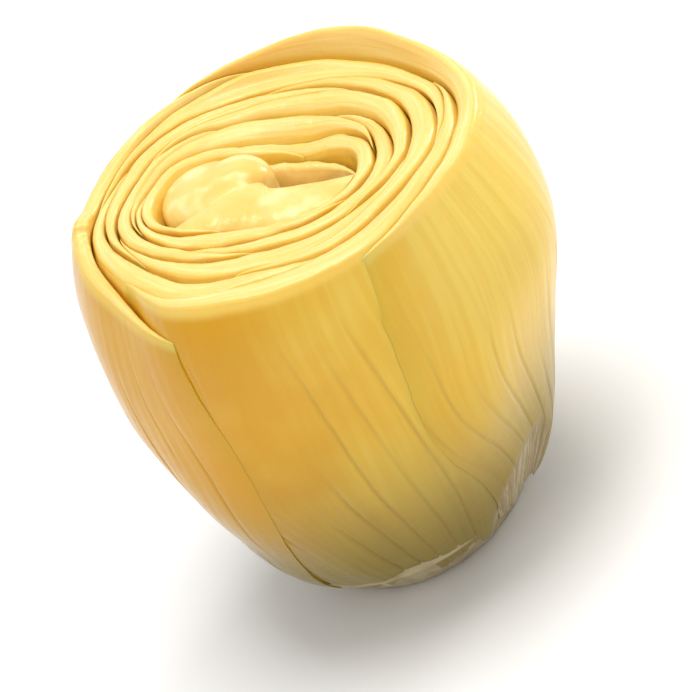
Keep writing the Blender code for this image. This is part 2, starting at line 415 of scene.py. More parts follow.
def new_tree(name, inputs):
    """A Geometry Nodes tree with named inputs, and a wire for each of them."""
    tree = bpy.data.node_groups.new(name, "GeometryNodeTree")
    for label, (kind, value) in inputs.items():
        made = tree.interface.new_socket(name=label, in_out="INPUT", socket_type=kind)
        if value is not None:
            made.default_value = value
    tree.interface.new_socket(name="Geometry", in_out="OUTPUT", socket_type="NodeSocketGeometry")
    group = tree.nodes.new("NodeGroupInput")
    return tree, {label: Wire(tree, group.outputs[label]) for label in inputs}


def finish_tree(mesh, material):
    """Shades smooth, realises instances, sets the material and ends the tree."""
    smoothed = mesh.node("GeometryNodeSetShadeSmooth", None, {"Geometry": mesh})
    real = smoothed.node("GeometryNodeRealizeInstances", None, {"Geometry": smoothed})
    painted = real.node("GeometryNodeSetMaterial", None, {"Geometry": real, "Material": material})
    output = mesh.tree.nodes.new("NodeGroupOutput")
    painted.feed(output.inputs["Geometry"], painted)


def stored(mesh, name, value):
    sockets = {"Geometry": mesh, "Name": name, "Value": value}
    return mesh.node("GeometryNodeStoreNamedAttribute", {"data_type": "FLOAT"}, sockets)


print("a leaf has", len(LEAF_INPUTS), "named inputs")

# %% [markdown]
# Veins run the length of a leaf, side by side, and draw together at its foot. They lean a little, as
# the leaves twist while they grow. A count across the leaf, bent slightly by noise, passes a whole
# number at each vein, and a narrow valley is cut there. Each vein fades in and out by a noise of its
# own. Between them lie shallow pleats, and striae finer than a millimetre.

# %% The veins and pleats of a leaf
VEIN_SPACING = 3.2
VEIN_WIDTH = 0.22
VEIN_WANDER = 0.25
VEIN_LEAN = 0.12
PLEAT_SPACING = 6.5
PLEAT_DEPTH = 0.34
STRIA_SPACING = 0.9
STRIA_DEPTH = 0.05
VEIN_BENDS = 2.2
VEIN_BENDS_UP = 0.5
VEIN_APART = 1.7
VEIN_PATCHES = 1.6
VEIN_SEED = 7
VEIN_SHOWN = (0.36, 0.60)


def vein_valley(across, up, arc, seed):
    """1 along a vein's middle and 0 between veins."""
    tree = across.tree
    bend = noise_wire(combine(across * VEIN_BENDS, up * VEIN_BENDS_UP, seed, tree), 1.0, 1.0) - 0.5
    count = (across + VEIN_LEAN * up) * arc / VEIN_SPACING + VEIN_WANDER * 2 * bend
    number = count.math("ROUND", count)
    valley = 1 - smooth(abs(count - number) * 2, 0.0, VEIN_WIDTH)
    place = combine(number * VEIN_APART, up * VEIN_PATCHES, seed + VEIN_SEED, tree)
    return valley * smooth(noise_wire(place, 1.0), *VEIN_SHOWN)


def grain(across, up, arc, seed, spacing, stretch):
    """Noise drawn out along the leaf, between -0.5 and 0.5."""
    return noise_wire(combine(across * arc / spacing, up * stretch, seed, across.tree), 1.0) - 0.5


print("room for veins on an outer leaf:", round(2 * OUTER_WRAP * BELLY_RADIUS / VEIN_SPACING))

# %% [markdown]
# A leaf's top is the knife's cut, but no two tops are alike. On one side of the bud the leaves end
# lower, one leaf is torn and frayed, every top wavers a little, and its edges are rounded, as soft
# cooked flesh rounds itself.

# %% The top of a leaf
POCKET_ANGLE = math.radians(60)
POCKET_START = 0.55
TORN_START = 0.25
PEAK_ACROSS = 0.22
PEAK_REACH = 0.24
PEAK_RISE = 0.25
FRAY_WAVES = 14
FRAY_NOISE = (3.0, 0.6)
FRAY_MEAN = 0.4
TOP_WAVES = 3.2
TOP_NOISE = (3.0, 0.55)
ROUND_FULL = 1.2
ROUND_POWER = 3.4
CORNER_DROP = 0.7
CORNER_POWER = 10


def leaf_top(given, across, through, angle, share, body):
    """The height of the cut top. Share is the depth, and body the thickness there."""
    seed = given["Seed"]
    side = clamp(cosine(angle - POCKET_ANGLE)) ** 2
    pocket = given["Pocket drop"] * side * smooth(share, POCKET_START, 1.0)
    waver = noise_wire(combine(across * TOP_WAVES, seed, 0.0, across.tree), 1.0, *TOP_NOISE) - 0.5
    rounding = given["Edge round"] * clamp(body * ROUND_FULL) * abs(2 * through - 1) ** ROUND_POWER
    frayed = noise_wire(combine(across * FRAY_WAVES, seed, 1.0, across.tree), 1.0, *FRAY_NOISE) - FRAY_MEAN
    peak = smooth(abs(across - PEAK_ACROSS), PEAK_REACH, 0.0) * (PEAK_RISE + frayed)
    torn = given["Torn drop"] * (smooth(across, TORN_START, 1.0) - peak)
    top = face_height(angle, share) - given["Top drop"] - torn - pocket
    return top + given["Edge wander"] * 2 * waver - rounding - CORNER_DROP * across**CORNER_POWER


print("the tops beside the bud drop most at", round(math.degrees(POCKET_ANGLE)), "degrees")

# %% [markdown]
# A leaf grows out of the fleshy bottom, so its foot is sunk in it. The outer leaves end lower, in
# uneven tatters, as they do under a blunt knife.

# %% The foot of a leaf
SUNK_FOOT = 0.5
SKIRT_SHARE = 0.07
TATTER_DROP = 1.7
TATTER_WAVES = 9
TATTER_SHOWN = (0.30, 0.72)


def leaf_foot(given, across, share):
    """The height of the foot."""
    skirt = 1 - smooth(share, 0.0, SKIRT_SHARE)
    tatter = noise_wire(combine(across * TATTER_WAVES, given["Seed"], 0.0, across.tree), 1.0, *FRAY_NOISE)
    return flesh_height(share) - SUNK_FOOT - TATTER_DROP * skirt * smooth(tatter, *TATTER_SHOWN)


print("the tatters hang down by up to", TATTER_DROP, "mm")

# %% [markdown]
# The skin sinks a little at the veins, the pleats and the thin edges, so that an edge lies snugly on
# the leaf under it. The knife pinched the top of each leaf, so it is a little thinner there.

# %% The relief of a leaf's skin
VEIN_FADE = (1.02, 0.55)
PLEAT_SEED = 3
PLEAT_STRETCH = 0.8
STRIA_SEED = 11
STRIA_STRETCH = 2.5
RELIEF_POWER = 6
NIP_SHARE = 0.08
NIP_START = 0.975
EDGE_SINK = 0.06
SINK_START = 0.86


def leaf_relief(given, across, up, through, body):
    """The mask of the veins, and how deep the surface sinks, in millimetres."""
    seed = given["Seed"]
    arc = given["Wrap"] * BELLY_RADIUS
    veins = vein_valley(across, up, arc, seed) * smooth(up, *VEIN_FADE)
    pleats = grain(across, up, arc, seed + PLEAT_SEED, PLEAT_SPACING, PLEAT_STRETCH)
    striae = grain(across, up, arc, seed + STRIA_SEED, STRIA_SPACING, STRIA_STRETCH)
    relief = PLEAT_DEPTH * pleats + STRIA_DEPTH * striae
    skin = (1 - through) * (given["Vein depth"] * veins + relief)
    nip = NIP_SHARE * body * smooth(up, NIP_START, 1.0) * (1 - 2 * through)
    sink = EDGE_SINK * smooth(abs(across), SINK_START, 1.0)
    return veins, skin * (1 - across**RELIEF_POWER) + nip + sink


print("a leaf's edge sinks by", EDGE_SINK, "mm")

# %% [markdown]
# Beside the stem's end the knife pared the heart at a slant. It left fibres, so the outline is cut
# back there by a noise that runs up and down.

# %% The pared side of a leaf
PARED_RELIEF = 0.5
PARED_EDGE = (0.02, 0.35)
PARED_SKIN = 0.1
FIBRE_ROUND = 16
FIBRE_UP = 0.5


def leaf_reach(angle, height, share, seed):
    """The outline's radius with its fibres, and the mask of the pared side."""
    reach = outline(angle, height)
    pared = smooth(grown_outline(angle, height) - reach, *PARED_EDGE)
    pared = pared * (1 - smooth(share, 0.0, PARED_SKIN))
    fibre = noise_wire(combine(angle * FIBRE_ROUND, height * FIBRE_UP, seed, angle.tree), 1.0, 2.0)
    return reach - PARED_RELIEF * pared * fibre, pared


print("the fibres are up to", PARED_RELIEF, "mm deep")

# %% [markdown]
# Now the tree follows the rule above. Columns stand closer at the leaf's edges and rows closer at its
# top and foot, where the shape turns sharply. What the finish needs later is stored by name.

# %% The tree itself
DENSER_ROWS = 0.65
DENSER_COLUMNS = 0.4
FOOT_GUESS = CROWN_HEIGHT * 0.6
EDGE_BENDS = 5
EDGES_APART = 2
EDGE_WOBBLE = 0.04
BLUNT_POWER = 8


def leaf_box(tree, given):
    """The closed box, and its directions: across (-1 to 1), up (0 to 1) and through (0 is outside)."""
    start = Wire(tree)
    counts = {"Vertices X": given["Columns"], "Vertices Y": given["Rows"], "Vertices Z": given["Layers"]}
    box = start.node("GeometryNodeMeshCube", None, {"Size": (2.0, 1.0, 1.0), **counts})
    place = start.node("GeometryNodeInputPosition")
    parts = [place.node("ShaderNodeSeparateXYZ", None, {0: place}, axis) for axis in "XYZ"]
    across = parts[0] + DENSER_COLUMNS / math.pi * sine(parts[0] * math.pi)
    level = parts[1] + 0.5
    up = level - DENSER_ROWS / (2 * math.pi) * sine(level * 2 * math.pi)
    return box, across, up, 0.5 - parts[2]


def leaf_turn(given, across, up, height):
    """The angle round the heart, with edges that bend in and out a little."""
    apart = across.math("SIGN", across) * EDGES_APART
    edge_noise = noise_wire(combine(given["Seed"], up * EDGE_BENDS, apart, across.tree), 1.0, 2.0)
    full_wrap = given["Wrap"] * (1 + EDGE_WOBBLE * (edge_noise - 0.5))
    return given["Angle"] + across * wrap_at(full_wrap, height)


def leaf_tree():
    tree, given = new_tree("bract", LEAF_INPUTS)
    box, across, up, through = leaf_box(tree, given)
    rough_height = FOOT_GUESS + up * (HEART_HEIGHT - FOOT_GUESS)
    angle = leaf_turn(given, across, up, rough_height)

    def term(leaf):
        return room_taken(leaf, angle, rough_height)

    outside, whole = packing_sums(tree, given["Leaves outside"], term)
    body = given["Thickness"] * midrib_share(across)
    share = (outside + given["Start depth"] + through * body) / whole
    top = leaf_top(given, across, through, angle, share, body)
    foot = leaf_foot(given, across, share)
    height = foot + up * (top - foot)

    veins, sunk = leaf_relief(given, across, up, through, body)
    share = share + sunk / whole
    reach, pared = leaf_reach(angle, height, share, given["Seed"])
    room = ring(angle, height)
    blunt = given["Fill"] * (1 - across**BLUNT_POWER)
    radius = reach - (reach - room) * share - room * blunt * through
    x = LEAN * height / HEART_HEIGHT + radius * cosine(angle)
    point = stretched(bent(combine(x, radius * sine(angle), height, tree)), MM)

    marks = {"across": across, "up": up, "through": through, "vein": veins, "pared": pared}
    mesh = box
    for name, value in marks.items():
        mesh = stored(mesh, name, value)
    mesh = mesh.node("GeometryNodeSetPosition", None, {"Geometry": mesh, "Position": point})
    finish_tree(mesh, given["Material"])
    return tree


bract = leaf_tree()
print("the leaf tree has", len(bract.nodes), "nodes")

# %% [markdown]
# ## From a tree to a mesh
#
# A modifier's inputs are set by their identifiers. Then the result is taken as a plain mesh, and the
# modifier goes, because other programs can't run the tree.

# %% Run a tree once
def grown(name, tree, values):
    """A plain mesh object made by a tree with these values."""
    carrier = bpy.data.objects.new(name + "_carrier", bpy.data.meshes.new(name + "_carrier"))
    bpy.context.scene.collection.objects.link(carrier)
    nodes = carrier.modifiers.new("grow", "NODES")
    nodes.node_group = tree
    for socket in tree.interface.items_tree:
        if socket.in_out == "INPUT" and socket.name in values:
            nodes[socket.identifier] = values[socket.name]
    graph = bpy.context.evaluated_depsgraph_get()
    mesh = bpy.data.meshes.new_from_object(carrier.evaluated_get(graph), depsgraph=graph)
    bpy.data.objects.remove(carrier)
    mesh.name = name
    made = bpy.data.objects.new(name, mesh)
    bpy.context.scene.collection.objects.link(made)
    return made


def settle(piece, slot, *nodes):
    """The piece rides on the one body and stands for its CAD nodes, which it hides. The slot is not used.
    """
    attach(piece, "root")
    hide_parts(*nodes)


for socket in list(bract.interface.items_tree)[1:4]:
    print("the input", socket.name, "has the identifier", socket.identifier)

# %% [markdown]
# ## Finishes
#
# Cooked leaf is a wet, waxy, slightly see-through skin. Light goes in, scatters and comes out golden,
# so subsurface scattering is on, as a constant, and a thin coat stands for the liquid. The colour
# changes with height: olive at the foot, which is painted shade, gold in the middle, and cream where
# the knife cut. Colours are given as a screen shows them, and turned into the linear values that
# light needs.

# %% Colours as a painter names them
def paint(red, green, blue):
    """The linear colour for a screen's red, green and blue, which run from 0 to 255."""
    shares = [part / 255 for part in (red, green, blue)]
    linear = [s / 12.92 if s <= 0.04045 else ((s + 0.055) / 1.055) ** 2.4 for s in shares]
    return (*linear, 1.0)


GOLD = paint(240, 200, 74)
DEEP_GOLD = paint(224, 160, 12)
# PAINTED_LIGHT_STRAW is painted light: the paler colour of the side where the light falls on it.
PAINTED_LIGHT_STRAW = paint(238, 208, 98)
# PAINTED_SHADE_OLIVE is painted shade, laid on towards the foot.
PAINTED_SHADE_OLIVE = paint(140, 120, 46)
MILK = paint(250, 230, 168)
CREAM = paint(242, 211, 128)
BUTTER = paint(236, 190, 84)
VEIN = paint(168, 128, 40)
CHALK = paint(188, 174, 140)
TAN = paint(148, 122, 78)
print("gold in linear light:", [round(part, 2) for part in GOLD])

# %% [markdown]
# A finish lays colours over each other through masks, and a mask may be a number that the leaf tree
# stored on the mesh. What is the same all over sits on the shader's own sockets, as a constant.

# %% Helpers for finishes
def mixed(factor, first, second):
    """The first colour where factor is 0 and the second where it is 1."""
    made = factor.node("ShaderNodeMix", {"data_type": "RGBA"}, {"Factor": factor}, 2)
    node = made.socket.node
    made.feed(node.inputs[6], first)
    made.feed(node.inputs[7], second)
    return made


def attribute(tree, name):
    return Wire(tree).node("ShaderNodeAttribute", {"attribute_name": name}, None, "Fac")


def new_finish(name, constants):
    """A material with a Principled BSDF, whose constants sit on its own sockets."""
    made = bpy.data.materials.new(name)
    made.use_nodes = True
    shader = made.node_tree.nodes["Principled BSDF"]
    for label, value in constants.items():
        shader.inputs[label].default_value = value
    return made, made.node_tree, shader


def bumped(tree, shader, height, strength, distance):
    sockets = {"Height": height, "Strength": strength, "Distance": distance}
    normal = Wire(tree).node("ShaderNodeBump", None, sockets, "Normal")
    normal.feed(shader.inputs["Normal"], normal)


def object_place(tree):
    return Wire(tree).node("ShaderNodeTexCoord", None, None, "Object")


print("a finish reads the stored numbers across, up, through, vein and pared")

# %% [markdown]
# Both skins are wet. Their constants are kept together: the scattering of cooked flesh, and a thin
# coat of liquid. Its reflections are tinted slightly golden, which is a painted reflection of golden
# surroundings.

# %% What makes a skin wet
WET = {
    "IOR": 1.40,
    "Subsurface Weight": 0.50,
    "Subsurface Radius": (1.0, 0.62, 0.18),
    "Subsurface Scale": 0.0009,
    "Coat Weight": 0.45,
    "Coat Roughness": 0.10,
    "Coat IOR": 1.36,
    # Painted reflection: the golden tint stands for golden light reflected from around the heart.
    "Specular Tint": (1.0, 0.88, 0.55, 1.0),
}
print("a wet skin sets", len(WET), "constants")

# %% [markdown]
# A skin varies at several sizes at once: clouds a centimetre wide, blotches, flecks, and streaks drawn
# out along the leaf. All of them are noises. The first three count waves to the metre. The drawn-out
# ones have two counts, as BLOTCH and other ranges have two ends: the noise's values at which a mask
# starts to rise from 0 and at which it reaches 1.

# %% The noises of the leaf's skin
CLOUDS = 90.0
BLOTCHES = 420.0
FLECKS = 1400.0
BLOTCH = (0.36, 0.66)
STREAKS = (40, 1.6)
STRANDS = (60, 4)
PRESSED = (2.0, 5)
THIN_EDGE = (0.70, 1.0)
THIN_STRENGTH = 0.35


def skin_marks(tree):
    """The numbers stored on the leaf, and the noises, by name."""
    marks = {name: attribute(tree, name) for name in ("across", "up", "through", "vein", "pared")}
    across, up, through = marks["across"], marks["up"], marks["through"]
    place = object_place(tree)

    def drawn_out(first, second, third):
        return noise_wire(combine(first, second, third, tree), 1.0, 2.0)

    marks["x"] = place.node("ShaderNodeSeparateXYZ", None, {0: place}, "X")
    marks["cloud"] = smooth(noise_wire(place, CLOUDS, 2.0), *BLOTCH)
    marks["blotch"] = smooth(noise_wire(place, BLOTCHES, 3.0), *BLOTCH)
    marks["fleck"] = noise_wire(place, FLECKS, 3.0)
    marks["streak"] = drawn_out(across * STREAKS[0], up * STREAKS[1], through)
    marks["strand"] = drawn_out(across * STRANDS[0], up * STRANDS[1], through)
    marks["pressed"] = drawn_out(across * PRESSED[0], through * PRESSED[1], across)
    marks["thin"] = smooth(abs(across), *THIN_EDGE) * THIN_STRENGTH
    return marks


print("the widest clouds are", round(1000 / CLOUDS), "mm wide, and the flecks", round(1000 / FLECKS, 1))

# %% [markdown]
# The side's colour is laid on in steps: gold, with painted light, a paler straw, on the right and
# towards the top; streaks; painted shade, a deeper gold, on the left; more painted shade, olive,
# towards the foot; and darker veins. A thin edge lets more red light through and looks green, so deep
# gold is laid on there to make up for it. The inside of a leaf is gold and butter, and the pared strip
# has no skin left.

# %% The colour of a leaf's side
# Painted light: PAINTED_LIGHT_STRAW is laid over GOLD on the right of the side and towards its top.
PAINTED_LIGHT_EDGE = (-0.006, 0.012)
PAINTED_LIGHT_WANDER = 0.016
PAINTED_LIGHT_HEIGHT = (0.45, 0.85)
STREAK = (0.62, 0.40)
STREAK_STRENGTH = 0.20
# Painted shade: a deeper gold on the left of the side.
PAINTED_SHADE_EDGE = (0.003, -0.016)
PAINTED_SHADE_WANDER = 0.010
PAINTED_SHADE_STRENGTH = 0.85
# Painted shade: olive towards the foot.
PAINTED_SHADE_HEIGHT = (0.66, 0.06)
VEIN_STRENGTH = 0.26
INNER_STREAK = (0.35, 0.65)
INNER_STRENGTH = 0.5
INNER_START = (0.45, 0.9)
PARED_STRANDS = (0.35, 0.65)
PARED_STRENGTH = 0.9


def side_colour(marks):
    up, streak = marks["up"], marks["streak"]
    wander = marks["cloud"] - 0.5
    # Painted light: a paler straw on the right and towards the top.
    painted_light = smooth(marks["x"] + PAINTED_LIGHT_WANDER * wander, *PAINTED_LIGHT_EDGE) * smooth(up, *PAINTED_LIGHT_HEIGHT)
    # Painted shade: a deeper gold on the left.
    painted_shade = smooth(marks["x"] + PAINTED_SHADE_WANDER * wander, *PAINTED_SHADE_EDGE) * PAINTED_SHADE_STRENGTH
    side = mixed(painted_light, GOLD, PAINTED_LIGHT_STRAW)
    side = mixed(smooth(streak, *STREAK) * STREAK_STRENGTH, side, DEEP_GOLD)
    side = mixed(painted_shade, side, DEEP_GOLD)
    side = mixed(marks["thin"], side, DEEP_GOLD)
    # Painted shade: olive towards the foot.
    side = mixed(smooth(up, *PAINTED_SHADE_HEIGHT), side, PAINTED_SHADE_OLIVE)
    side = mixed(marks["vein"] * VEIN_STRENGTH, side, VEIN)
    inner = mixed(smooth(streak, *INNER_STREAK) * INNER_STRENGTH, GOLD, BUTTER)
    side = mixed(smooth(marks["through"], *INNER_START), side, inner)
    stripped = mixed(smooth(marks["strand"], *PARED_STRANDS), CHALK, TAN)
    return mixed(marks["pared"] * PARED_STRENGTH, side, stripped)


print("the side is laid on in eight coats")

# %% [markdown]
# The cut face shows the pale inside of the leaf. It is cream, with buttery patches where the leaves
# press on each other, paler milky patches that are painted highlight, and gold along both skins.

# %% The colour of a leaf's cut
# Painted highlight: the range and share of the paler milky patches on the cut.
MILKY_HIGHLIGHT = (0.52, 0.30)
MILKY_HIGHLIGHT_STRENGTH = 0.5
BUTTERY = (0.48, 0.75)
BUTTERY_STRENGTH = 0.6
CLOUD_STRENGTH = 0.25
CUT_RIM = (0.76, 1.0)
CUT_RIM_STRENGTH = 0.6


def cut_colour(marks):
    pressed = marks["pressed"]
    # Painted highlight: paler milky patches.
    pale = mixed(smooth(pressed, *MILKY_HIGHLIGHT) * MILKY_HIGHLIGHT_STRENGTH, CREAM, MILK)
    pale = mixed(smooth(pressed, *BUTTERY) * BUTTERY_STRENGTH, pale, BUTTER)
    pale = mixed(marks["thin"] + marks["cloud"] * CLOUD_STRENGTH, pale, BUTTER)
    off_middle = abs(2 * marks["through"] - 1)
    return mixed(smooth(off_middle, *CUT_RIM) * CUT_RIM_STRENGTH, pale, GOLD)


print("the cut is laid on in four coats")

# %% [markdown]
# The two colours meet at the leaf's top. Flecks make the gloss uneven, and the same noises raise the
# skin a little, which is all the bump it needs: everything larger is in the mesh.

# %% The leaf's skin
CUT = (0.965, 0.992)
SMOOTHEST = 0.26
FLECK_ROUGH = 0.20
CUT_ROUGH = 0.06
PARED_ROUGH = 0.15
STREAK_RISE = 0.5
FLECK_RISE = 0.25
BUMP_STRENGTH = 0.30
BUMP_DISTANCE = 0.0003


def leaf_skin():
    made, tree, shader = new_finish("leaf_skin", WET)
    marks = skin_marks(tree)
    cut = smooth(marks["up"], *CUT)
    colour = mixed(cut, side_colour(marks), cut_colour(marks))
    colour.feed(shader.inputs["Base Color"], colour)
    rough = SMOOTHEST + FLECK_ROUGH * marks["fleck"] + CUT_ROUGH * cut + PARED_ROUGH * marks["pared"]
    rough.feed(shader.inputs["Roughness"], rough)
    relief = marks["streak"] * STREAK_RISE + marks["fleck"] * FLECK_RISE
    relief = relief + marks["blotch"] * marks["pared"] + marks["pressed"] * cut
    bumped(tree, shader, relief, BUMP_STRENGTH, BUMP_DISTANCE)
    return made


skin = leaf_skin()
print(skin.name, "has", len(skin.node_tree.nodes), "nodes")

# %% [markdown]
# ## The leaves
#
# The tree now makes all fifteen. The outer ones show a whole side, so they get the most columns for
# their veins. The inner ones show little but their cut tops. The second leaf was torn, so its top
# falls towards one edge.

# %% Fifteen leaves from one tree
TORN_LEAF = 1
LAYERS = ("outer", "middle", "inner")
LAYER_COLUMNS = {"outer": 420, "middle": 200, "inner": 150}
LAYER_ROWS = {"outer": 80, "middle": 56, "inner": 56}
LEAF_LAYERS = 8
TOP_DROP = 0.20
TOP_RHYTHM = 2.1
TORN_DROP = 2.4
POCKET_DROP = 2.4
EDGE_WANDER = 0.32
EDGE_ROUND = 0.28
VEIN_DEPTH = 0.09
SEED_STEP = 3.7


def leaf_values(leaf, layer):
    return {
        "Leaves outside": leaf,
        "Start depth": 0.0,
        "Angle": leaf_angle(leaf),
        "Wrap": leaf_wrap(leaf),
        "Thickness": leaf_thickness(leaf),
        "Fill": 0.0,
        "Top drop": TOP_DROP * math.sin(TOP_RHYTHM * leaf),
        "Torn drop": TORN_DROP if leaf == TORN_LEAF else 0.0,
        "Pocket drop": POCKET_DROP,
        "Edge wander": EDGE_WANDER,
        "Edge round": EDGE_ROUND,
        "Vein depth": VEIN_DEPTH,
        "Seed": SEED_STEP * leaf,
        "Columns": LAYER_COLUMNS[layer],
        "Rows": LAYER_ROWS[layer],
        "Layers": LEAF_LAYERS,
        "Material": skin,
    }


for leaf in range(LEAF_COUNT):
    layer = LAYERS[3 * leaf // LEAF_COUNT]
    node = f"{layer}_leaf_{leaf % 5 + 1}"
    piece = grown(node + "_bract", bract, leaf_values(leaf, layer))
    settle(piece, "leaf_skin", node)
    print(piece.name, len(piece.data.polygons), "faces")

# %% [markdown]
# ## The middle
#
# The middle of the heart never saw the sun. Its young leaves and its bud have the same wet skin, but
# cream all over, with soft crumples, and paler milky patches among them that are painted highlight.

# %% The young skin
YOUNG_PATCHES = 260.0
CRUMPLES = 420.0
# Painted highlight: the range and share of the paler milky patches among the crumples.
CRUMPLE_HIGHLIGHT = (0.50, 0.30)
YOUNG_BUTTER = 0.55
YOUNG_MILK_HIGHLIGHT = 0.7
YOUNG_SMOOTHEST = 0.24
YOUNG_FLECK_RISE = 0.2
CRUMPLE_RISE = 2.0
YOUNG_BUMP = 0.5


def young_skin():
    made, tree, shader = new_finish("young_skin", WET)
    place = object_place(tree)
    patch = smooth(noise_wire(place, YOUNG_PATCHES, 2.0), *BLOTCH)
    fleck = noise_wire(place, FLECKS, 3.0)
    crumple = noise_wire(place, CRUMPLES, 1.0)
    colour = mixed(patch * YOUNG_BUTTER, CREAM, BUTTER)
    # Painted highlight: paler milky patches among the crumples.
    colour = mixed(smooth(crumple, *CRUMPLE_HIGHLIGHT) * YOUNG_MILK_HIGHLIGHT, colour, MILK)
    colour.feed(shader.inputs["Base Color"], colour)
    rough = YOUNG_SMOOTHEST + FLECK_ROUGH * fleck
    rough.feed(shader.inputs["Roughness"], rough)
    bumped(tree, shader, fleck * YOUNG_FLECK_RISE + crumple * CRUMPLE_RISE, YOUNG_BUMP, BUMP_DISTANCE)
    return made


soft_skin = young_skin()
print(soft_skin.name, "has", len(soft_skin.node_tree.nodes), "nodes")

# %% [markdown]
# One thick young leaf folds round the front of the bud, and thin ones curl behind it. They come from
# the same tree and lie inside all fifteen. The thick one fills most of the ring, so its cut top is a
# half-moon.

# %% The fold and the curls
FOLD = {
    "Angle": math.radians(-101),
    "Wrap": math.radians(76),
    "Thickness": 0.9,
    "Fill": 0.76,
    "Start depth": 0.05,
    "Edge round": 0.9,
    "Layers": 24,
}
CURLS = (
    {"Angle": math.radians(48), "Wrap": math.radians(66), "Thickness": 0.8, "Start depth": 0.15},
    {"Angle": math.radians(44), "Wrap": math.radians(56), "Thickness": 0.8, "Start depth": 1.5},
)
FOLD_DROP = 0.1
FOLD_SEED = 61.0
CURL_DROP = 2.9
CURL_STEP = 1.3
CURL_SEED = 71.0


def young_values(sizes, drop, seed):
    base = leaf_values(LEAF_COUNT - 1, "inner")
    base.update({"Leaves outside": LEAF_COUNT, "Top drop": drop, "Pocket drop": 0.0, "Seed": seed})
    base["Material"] = soft_skin
    base.update(sizes)
    return base


fold = grown("folded_leaf_bract", bract, young_values(FOLD, FOLD_DROP, FOLD_SEED))
settle(fold, "young_skin", "folded_leaf")
print(fold.name, len(fold.data.polygons), "faces")
for number, sizes in enumerate(CURLS):
    values = young_values(sizes, CURL_DROP + CURL_STEP * number, CURL_SEED + number)
    curl = grown(f"young_leaf_{number + 1}_bract", bract, values)
    settle(curl, "young_skin", f"young_leaf_{number + 1}")
    print(curl.name, len(curl.data.polygons), "faces")

# %% [markdown]
# ## The bud
#
# The bud is one plump lobe at the side of the ring, rounded on top. It widens upwards as the ring
# does. Gentle lobes and a few creases keep it from looking turned on a lathe.

# %% The bud's shape
BUD_X = -4.4
BUD_Y = 2.7
BUD_RADIUS = 5.3
BUD_TOP = HEART_HEIGHT + 1.1
BUD_DOME = 2.6
BUD_FOOT = CROWN_HEIGHT - 0.5
DOME_RINGS = 0.45
DOME_POWER = 0.62
OVAL_LOBE = 0.06
OVAL_TURN = 0.6
THREE_LOBES = 0.03
BUD_CREASES = ((5.6, 0.14), (0.9, 0.07), (3.7, 0.08))
CREASE_WIDTH = 0.20
BUD_DENTS = 0.35
DENT_SEED = 4.0


def bud_profile(share):
    """The height and the width of the bud: its stem, and then its dome in the last DOME_RINGS."""
    shoulder = BUD_TOP - BUD_DOME
    if share > 1 - DOME_RINGS:
        turn = (share - 1 + DOME_RINGS) / DOME_RINGS * math.pi / 2
        return shoulder + BUD_DOME * math.sin(turn), max(math.cos(turn), 0.0) ** DOME_POWER
    return BUD_FOOT + (shoulder - BUD_FOOT) * share / (1 - DOME_RINGS), 1.0


def bud_point(angle, share):
    height, width = bud_profile(share)
    rise = ring_rise(height)
    lobed = 1 + OVAL_LOBE * math.cos(2 * angle + OVAL_TURN) + THREE_LOBES * math.cos(3 * angle)
    crease = sum(deep * math.exp(-(((angle - turn) / CREASE_WIDTH) ** 2)) for turn, deep in BUD_CREASES)
    reach = BUD_RADIUS * rise * width * (lobed - crease)
    spot = Vector((math.cos(angle) * width, math.sin(angle) * width, DENT_SEED))
    height -= BUD_DENTS * width * noise.noise(spot)
    middle = LEAN * height / HEART_HEIGHT + BUD_X * rise
    return Vector((middle + reach * math.cos(angle), BUD_Y * rise + reach * math.sin(angle), height))


print("the bud's top is at", round(BUD_TOP, 1), "mm")

# %% [markdown]
# A loft joins rings of points with a skin. Its two ends are closed by a point each, and the points
# become metres only at the end.

# %% A loft, and the bud
BUD_STEPS = 120
BUD_RINGS = 90


def loft(name, point_at, rings, steps):
    """A closed body. Point_at gives the point at a turn and a share of the way from pole to pole."""
    form = bmesh.new()
    turns = [2 * math.pi * step / steps for step in range(steps)]
    bands = []
    for band in range(1, rings):
        bands.append([form.verts.new(point_at(turn, band / rings)) for turn in turns])
    for low, high in zip(bands, bands[1:]):
        for step in range(steps):
            after = (step + 1) % steps
            form.faces.new((low[step], low[after], high[after], high[step]))
    for band, share in ((bands[0], 0.0), (bands[-1], 1.0)):
        pole = form.verts.new(sum((point_at(turn, share) for turn in turns), Vector()) / steps)
        for step in range(steps):
            form.faces.new((band[step], band[(step + 1) % steps], pole))
    bmesh.ops.recalc_face_normals(form, faces=form.faces[:])
    for vert in form.verts:
        vert.co *= MM
    mesh = bpy.data.meshes.new(name)
    form.to_mesh(mesh)
    form.free()
    mesh.shade_smooth()
    made = bpy.data.objects.new(name, mesh)
    bpy.context.scene.collection.objects.link(made)
    return made


bud = loft("plump_bud", bud_point, BUD_RINGS, BUD_STEPS)
bud.data.materials.append(soft_skin)
settle(bud, "young_skin", "centre_bud")
print(bud.name, len(bud.data.polygons), "faces")

# %% [markdown]
# ## The fleshy bottom
#
# The bottom is a solid lump of flesh. The knife has cut it flat under the stem and pared it beside
# that. The strands that fed the leaves end on the flat, in uneven rings, and stand out a little from
# it, because the flesh between them shrinks. Their places are drawn from a noise with a fixed seed,
# without which noise_vector would give other places in every run.

# %% The ends of the strands
STRAND_RINGS = ((29, 6.6), (17, 4.4), (6, 2.0))
STRAND_WANDER = 0.6
STRAND_SIZE = 0.42
STRANDS_APART = 1.7
STRAND_LEVEL = 0.5
STRAND_SEED = 7
noise.seed_set(STRAND_SEED)


